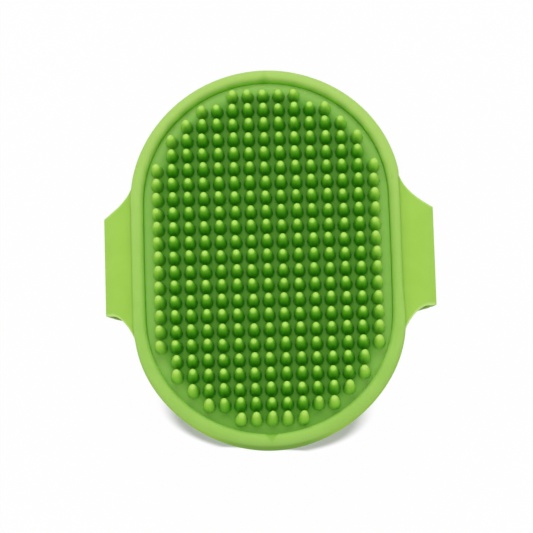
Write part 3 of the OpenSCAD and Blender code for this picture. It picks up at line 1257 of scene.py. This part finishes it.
@dataclass
class PalmPlate:
    """The stiff plate against the palm, with chamfered edges and faint ejector marks."""

    radius: float = 41.6
    palm: float = 33.9
    top: float = 35.5
    chamfer: float = 0.35
    chamfer_knee: float = 0.3
    top_bevel: float = 0.1
    palm_rings: tuple[float, ...] = (30.0, 20.0, 10.0, 0.0)
    mark_r: float = 2.6
    mark_h: float = 0.12
    mark_facets: int = 28
    mark_pitch: Flat = (44.0, 27.0)
    mark_count: tuple[int, int] = (2, 4)
    sharp: float = 30.0

    def build(self) -> Object:
        """Build the plate with its marks and place it on the pad body.

        Returns:
            The finished piece.
        """
        out, low, bevel = self.radius, self.palm, self.top_bevel
        knee = self.chamfer_knee * self.chamfer
        section = [(0.0, self.top), (out - bevel, self.top), (out, self.top - bevel)]
        section += [(out, low + self.chamfer), (out - knee, low + knee), (out - self.chamfer, low)]
        section += [(r, low) for r in self.palm_rings]
        shell, stations = Shell(), OVAL.stations()
        shell.loft([shell.ring(OVAL.at(s, r, z) for s in stations) for r, z in section])
        plate = shell.piece("palm_plate", PLATE_PLASTIC)
        self.set_marks(plate)
        shade(plate.data, self.sharp)
        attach(plate, "pad")
        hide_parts("back_plate")
        return plate

    def set_marks(self, plate: Object) -> None:
        """Set the ejector marks on the palm face.

        Args:
            plate: The plain plate, changed in place.
        """
        wide, long = ((n - 1) * pitch * MM for n, pitch in zip(self.mark_count, self.mark_pitch))
        bench = RepeatTree("ejector_marks", {
            "Size X": wide,
            "Size Y": long,
            "Columns": self.mark_count[0],
            "Rows": self.mark_count[1],
            "Radius": self.mark_r * MM,
            "Depth": 2 * self.mark_h * MM,
            "Palm Height": self.palm * MM,
        }, PLATE_PLASTIC)
        given = bench.given
        grid = bench.grid(*(given[name] for name in ("Size X", "Size Y", "Columns", "Rows")))
        disc = bench.result("GeometryNodeMeshCylinder", {
            "Vertices": self.mark_facets, "Radius": given["Radius"], "Depth": given["Depth"],
        })
        points = bench.moved(grid, Offset=bench.vector(Z=given["Palm Height"]))
        bench.run(plate, bench.joined(bench.copies(disc, points)))


# ---- The strap


@dataclass
class StrapStation:
    """One place along the strap: its two faces in the XZ plane, half its width, and its tones of
    painted highlight and shade.

    The flare is how much further its near edge stands out.
    """

    outer: Flat
    inner: Flat
    half_width: float
    painted_edge_tone: float
    painted_fold_tone: float
    flare: float


@dataclass
class StrapHalf:
    """Half of the strap, one moulding from the rim's slot over ear and crease to its free end."""

    name: str
    side: Side
    body: str
    nodes: tuple[str, ...]
    flat_z: float
    tip_x: float
    pulled: float = 0.0
    tongue_x: float = 41.1
    tongue_len: float = 0.9
    rim_x: float = 43.5
    ear_start: float = 0.45
    ear_z: float = 38.0
    crease_z: float = 34.505
    fold: float = 50.0
    bend_r: float = 10.0
    half_t: float = 0.9
    crease_half: float = 0.65
    thin_from: float = 1.05
    thin_len: float = 3.0
    tip_r: float = 7.0
    edge_r: float = 0.35
    edge_share: float = 0.48
    edge_step: float = 0.6
    blend_reach: float = 1.2
    # Tones of painted highlight on the outer edges on the ear, the crease and the band, and on the
    # face beside; then the reach and strength of the painted shade inside the fold
    ear_tone: float = 1.0
    crease_tone: float = 0.6
    band_tone: float = 0.3
    face_tone: float = 0.7
    fold_shade: float = 12.0
    fold_shade_strength: float = 1.0
    # How the near edge stands out at the crease and the rim, and is drawn in between
    corner_flare: float = 0.3
    flare_run: float = 3.0
    edge_lift: float = 0.32
    band_lift: float = -0.2
    lift_span: Flat = (0.2, 8.2)
    near_fill: float = 0.45
    fill_span: Flat = (5.0, 9.5)
    # Steps of the mesh, and how close to the crease its stations come
    across: int = 22
    turn_steps: int = 3
    ear_steps: int = 26
    ear_clear: float = 0.75
    crease_steps: int = 8
    crease_gaps: tuple[float, ...] = (0.72, 0.95, 1.3, 1.7, 2.2, 3.0, 4.05)
    slope_steps: int = 12
    bend_steps: int = 16
    flat_steps: int = 15
    tip_steps: int = 14
    tip_shares: tuple[float, ...] = (1.0, 0.6, 0.3, 0.1, 0.0)
    sharp: float = 45.0
    pierced_sharp: float = 32.0
    stations: list[StrapStation] = field(default_factory=list)

    def __post_init__(self) -> None:
        """Work out the ear's curve from the rim to the crease."""
        self.shoulder = Shoulder(crease_x=Shoulder.crease_x + self.pulled)
        self.crease_x = self.shoulder.crease_x
        self.droop = 2 * atan2(self.ear_z - self.crease_z, self.crease_x - self.rim_x)
        self.ear_r = (self.crease_x - self.rim_x) / sin(self.droop)
        self.turned = pi - radians(self.fold)

    def lay(self, middle: Flat, slope: float, half: float, width: float) -> None:
        """Lay a station.

        Args:
            middle: Middle of the sheet, in X and Z on the right-hand side.
            slope: Turn of the outer face from facing up, in radians.
            half: Half the thickness.
            width: Half the width.
        """
        x, z = half * sin(slope), half * cos(slope)
        away = dist(middle, (self.crease_x, self.crease_z))
        shade_share = min(1.0, max(0.0, 2 - 2 * away / self.fold_shade))
        on_ear = slope < pi / 2
        self.stations.append(StrapStation(
            (middle[0] + x, middle[1] + z), (middle[0] - x, middle[1] - z), width,
            self.ear_tone if on_ear else self.band_tone - shade_share,
            shade_share * self.fold_shade_strength, self.flare(away, on_ear),
        ))

    def flare(self, away: float, on_ear: bool) -> float:
        """Find how much further the near edge stands out.

        Args:
            away: Distance from the crease.
            on_ear: Whether the place is on the ear, and not on the band.

        Returns:
            The flare, below 0 where the edge is drawn in.
        """
        corner = self.corner_flare * max(0.0, 1 - (away / self.flare_run) ** 2)
        first, last = self.lift_span
        middle = (2 * away - first - last) / (last - first)
        lift = self.edge_lift if on_ear else self.band_lift
        start, full = self.fill_span
        fill = self.near_fill * smooth((away - start) / (full - start)) if on_ear else 0.0
        return corner + fill - lift * max(0.0, 1 - middle * middle) ** 2

    def thickness(self, away: float) -> float:
        """Return half the thickness at a distance from where the strap is thinnest."""
        share = min(1.0, max(0.0, away / self.thin_len))
        return self.crease_half + (self.half_t - self.crease_half) * share

    def ear_slope(self, x: float) -> float:
        """Return how far the ear is turned down at a distance from the middle, in radians."""
        return asin(max(0.0, x - self.rim_x) / self.ear_r)

    def lay_ear(self) -> None:
        """Lay stations from the tongue's end to just short of the crease."""
        for x in (self.tongue_x, self.tongue_x + self.tongue_len):
            self.lay((x, self.ear_z), 0.0, self.half_t, self.shoulder.root_half)
        middle, radius = self.shoulder.centre[0], self.shoulder.radius
        touch = acos(min(1.0, (middle - self.rim_x + self.ear_start) / radius))
        turn = acos((middle - self.crease_x) / radius) - touch
        steps = range(self.ear_steps + 1)
        places = [middle - radius * cos(touch + turn * k / self.ear_steps) for k in steps]
        last = self.droop - self.ear_clear / self.ear_r
        places = [x for x in places if self.ear_slope(x) <= last]
        last = self.droop - self.crease_gaps[0] / self.ear_r
        for x in [*places, self.rim_x + self.ear_r * sin(last)]:
            slope = self.ear_slope(x)
            z = self.ear_z - self.ear_r * (1 - cos(slope))
            half = self.thickness((self.droop - slope) * self.ear_r)
            self.lay((x, z), slope, half, self.shoulder.half_at(x))

    def lay_crease(self) -> None:
        """Lay the fold: a round nose outside, and one sharp line inside."""
        turn = self.turned - self.droop
        x, z, half = self.crease_x, self.crease_z, self.crease_half
        mean, deep = self.droop + turn / 2, half / cos(turn / 2)
        inside = (x - deep * sin(mean), z - deep * cos(mean))
        for k in range(self.crease_steps + 1):
            a = self.droop + turn * k / self.crease_steps
            nose = (x + half * sin(a), z + half * cos(a))
            self.stations.append(StrapStation(
                nose, inside, self.shoulder.half_width,
                self.crease_tone, self.fold_shade_strength, self.corner_flare,
            ))

    def lay_band(self) -> None:
        """Lay stations down the slope, round the bend and along the flat to the free end."""
        fold, wide = radians(self.fold), self.shoulder.half_width
        bend_z = self.flat_z + self.bend_r
        run = (self.crease_z - bend_z + self.bend_r * cos(fold)) / sin(fold)
        bend_x = self.crease_x - run * cos(fold) - self.bend_r * sin(fold)
        first = self.crease_gaps[-1]
        steps = [first + (run - first) * share for share in even(self.slope_steps)]
        for away in [*self.crease_gaps, *steps]:
            middle = (self.crease_x - away * cos(fold), self.crease_z - away * sin(fold))
            self.lay(middle, self.turned, self.thickness(away - self.thin_from), wide)
        for k in range(self.bend_steps + 1):
            turn = fold * (1 - k / self.bend_steps)
            middle = (bend_x + self.bend_r * sin(turn), bend_z - self.bend_r * cos(turn))
            self.lay(middle, pi - turn, self.half_t, wide)
        corner = bend_x - self.tip_x - self.tip_r
        for share in [*even(self.flat_steps), 1.0]:
            self.lay((bend_x - corner * share, self.flat_z), pi, self.half_t, wide)
        ends = {self.tip_r * cos(pi / 2 * share) for share in even(self.tip_steps)}
        for left in sorted(ends | {self.edge_r * share for share in self.tip_shares}, reverse=True):
            short = max(0.0, self.edge_r - left)
            half = self.half_t - self.edge_r + sqrt(max(0.0, self.edge_r**2 - short**2))
            in_plan = sqrt(max(0.0, self.tip_r**2 - (self.tip_r - left) ** 2))
            self.lay((self.tip_x + left, self.flat_z), pi, half, wide - self.tip_r + in_plan)

    def section(self, at: StrapStation) -> tuple[list[Point], list[float]]:
        """Lay out the rounded section of the sheet.

        Args:
            at: Where along the strap.

        Returns:
            Its points from the near edge of the outer face, and their tones: a painted highlight on
            the outer edges, and painted shade on the inner face in the fold.
        """
        deep = dist(at.outer, at.inner)
        r = min(self.edge_r, self.edge_share * deep)
        flat = at.half_width - r
        inner = flat - self.edge_step
        steps = self.across - 2
        places = [-flat, *(inner * (2 * k / steps - 1) for k in range(steps + 1)), flat]
        turns = [pi / 2 * k / self.turn_steps for k in range(self.turn_steps + 1)]
        line = [(y, 0.0) for y in places]
        line += [(flat + r * sin(t), r - r * cos(t)) for t in turns[1:]]
        line += [(flat + r * cos(t), deep - r + r * sin(t)) for t in turns]
        line += [(-y, deep) for y in places[1:]]
        line += [(-flat - r * sin(t), deep - r + r * cos(t)) for t in turns[1:]]
        line += [(-flat - r * cos(t), r - r * sin(t)) for t in turns[:-1]]
        out = []
        for y, depth in line:
            x, z = (a + (b - a) * depth / deep for a, b in zip(at.outer, at.inner))
            out.append((self.side.value * x, y + at.flare * min(0.0, y) / at.half_width, z))
        edge, beside = [at.painted_edge_tone] * self.turn_steps, [self.face_tone * at.painted_edge_tone]
        tones = beside + [0.0] * (len(places) - 2) + beside + edge
        return out, tones + [-at.painted_fold_tone] * (len(line) - len(tones) - len(edge)) + edge

    def build(self, pierce: Callable[[Object], None] | None = None) -> Object:
        """Build this half and pierce it if asked.

        Args:
            pierce: What cuts the holes into the plain moulding.

        Returns:
            The finished piece.
        """
        self.lay_ear()
        self.lay_crease()
        self.lay_band()
        shell = Shell()
        rings = [shell.ring(*self.section(station)) for station in self.stations]
        shell.loft(rings)
        shell.cap(rings[0], rings[-1])
        piece = shell.piece(self.name, STRAP_RUBBER, self.sharp)
        if pierce:
            pierce(piece)
            shade(piece.data, self.pierced_sharp)
        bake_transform(piece)
        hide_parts(*self.nodes)
        return piece


@dataclass
class HoleRows:
    """Two rows of holes through the flat of the strap, chamfered on both faces."""

    columns: int = 5
    column_pitch: float = 8.0
    row_pitch: float = 16.0
    radius: float = 2.35
    play: float = 1.0
    sheet: float = 1.8
    chamfer: float = 0.22
    overshoot: float = 1.0
    facets: int = 32

    def pierce(self, piece: Object) -> None:
        """Cut the holes through a strap half.

        Args:
            piece: The strap half, changed in place.
        """
        bench = RepeatTree("strap_holes", {
            "Columns": self.columns,
            "Rows": 2,
            "Length": (self.columns - 1) * self.column_pitch * MM,
            "Row Pitch": self.row_pitch * MM,
            "Radius": self.radius * MM,
            "Play": self.play * MM,
            "Half Sheet": self.sheet / 2 * MM,
            "Chamfer": self.chamfer * MM,
        }, STRAP_RUBBER)
        given = bench.given
        grid = bench.grid(*(given[name] for name in ("Length", "Row Pitch", "Columns", "Rows")))
        points = bench.moved(grid, Offset=bench.vector(Z=given["Half Sheet"]))
        cut = bench.result("GeometryNodeMeshBoolean", {
            "Mesh 1": given["Piece"], "Mesh 2": bench.copies(self.cutter(bench), points),
        }, operation="DIFFERENCE", solver="EXACT")
        bench.run(piece, cut)

    def cutter(self, bench: RepeatTree) -> Socket:
        """Draw a cylinder out to a slightly long bore that flares beyond both faces.

        Args:
            bench: The hole tree.

        Returns:
            One cutter.
        """
        given = bench.given
        bore = bench.result("GeometryNodeMeshCylinder", {
            "Vertices": self.facets, "Side Segments": 4, "Radius": 1.0, "Depth": 4.0,
        })
        x, y, z = bench.spot()
        level = bench.math("ABSOLUTE", z)
        beyond = bench.math("MAXIMUM", bench.math("SUBTRACT", level, 1.0), 0.0)
        flare = bench.math("ADD", given["Chamfer"], self.overshoot * MM)
        flare = bench.times(beyond, flare)
        wide = bench.math("ADD", given["Radius"], flare)
        straight = bench.math("SUBTRACT", given["Half Sheet"], given["Chamfer"])
        high = bench.math("MULTIPLY_ADD", bench.math("MINIMUM", level, 1.0), straight, flare)
        ahead = bench.times(bench.math("GREATER_THAN", x, TINY), given["Play"])
        return bench.moved(bore, Position=bench.vector(
            X=bench.math("MULTIPLY_ADD", x, wide, ahead),
            Y=bench.times(y, wide),
            Z=bench.times(high, bench.math("SIGN", z)),
        ))


@dataclass
class PushStud:
    """One push-through stud: a dimpled flange on the hand side, a neck and a domed head."""

    name: str
    node: str
    y: float
    flange_r: float = 3.2
    flange_top: float = 4.15
    flange_low: float = 3.3
    dimple_r: Flat = (0.5, 0.75)
    neck_r: float = 1.5
    face: float = 2.1
    head_r: float = 2.2
    head_low: float = 0.2
    head_bevel: float = 0.1
    dome_ends: Flat = (3.0, -86.0)
    edge_r: float = 0.15
    segments: int = 40
    sharp: float = 40.0

    def build(self) -> Object:
        """Turn the stud's section about its axis and place it on the studded half.

        Returns:
            The finished piece.
        """
        high, edge = self.face - self.head_low, self.edge_r
        ball = (self.head_r**2 + high**2) / (2 * high)
        start = degrees(asin((high - ball) / ball)) - self.dome_ends[0]
        line = [(self.dimple_r[0], self.flange_top - edge), (self.dimple_r[1], self.flange_top)]
        line += arc_points((self.flange_r - edge, self.flange_top - edge), edge, 90.0, 0.0, steps=3)
        line += [(self.flange_r, self.flange_low), (self.neck_r, self.flange_low)]
        line += [(self.neck_r, self.face), (self.head_r - self.head_bevel, self.face)]
        line += arc_points((0.0, self.head_low + ball), ball, start, self.dome_ends[1], steps=9)
        shell = Shell()
        turns = [(0.0, 2 * pi * k / self.segments) for k in range(self.segments)]
        spots = [[OVAL.at(turn, r, z) for turn in turns] for r, z in line]
        rings = [shell.ring((x, self.y + y, z) for x, y, z in spot) for spot in spots]
        shell.loft(rings)
        shell.cap(rings[0], rings[-1])
        stud = shell.piece(self.name, STUD_PLASTIC, self.sharp)
        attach(stud, "studded_half")
        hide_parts(self.node)
        return stud


# ---- Putting it together


def report(piece: Object) -> None:
    """Log a finished piece with its face count."""
    LOG.info("%s: %d faces", piece.name, len(piece.data.polygons))


def main() -> None:
    """Build the studio and every piece in order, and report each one."""
    logging.basicConfig(level=logging.INFO, format="%(name)s: %(message)s")
    PhotoCamera().build()
    Studio().build()
    for part in (NubPad(), RimBead(), PalmPlate()):
        report(part.build())
    holed = StrapHalf(
        "holed_strap_half", Side.LEFT, "holed_half", ("left_ear", "left_band"),
        flat_z=0.9, tip_x=-23.5,
    )
    report(holed.build(HoleRows().pierce))
    studded = StrapHalf(
        "studded_strap_half", Side.RIGHT, "studded_half", ("right_ear", "right_band"),
        flat_z=3.0, tip_x=-6.5, pulled=1.05,
        fold_shade_strength=0.9, corner_flare=0.62, edge_lift=-0.1, band_lift=-0.45,
    )
    report(studded.build())
    report(PushStud("upper_push_stud", "upper_stud", 8.0).build())
    report(PushStud("lower_push_stud", "lower_stud", -8.0).build())


if __name__ == "__main__":
    main()
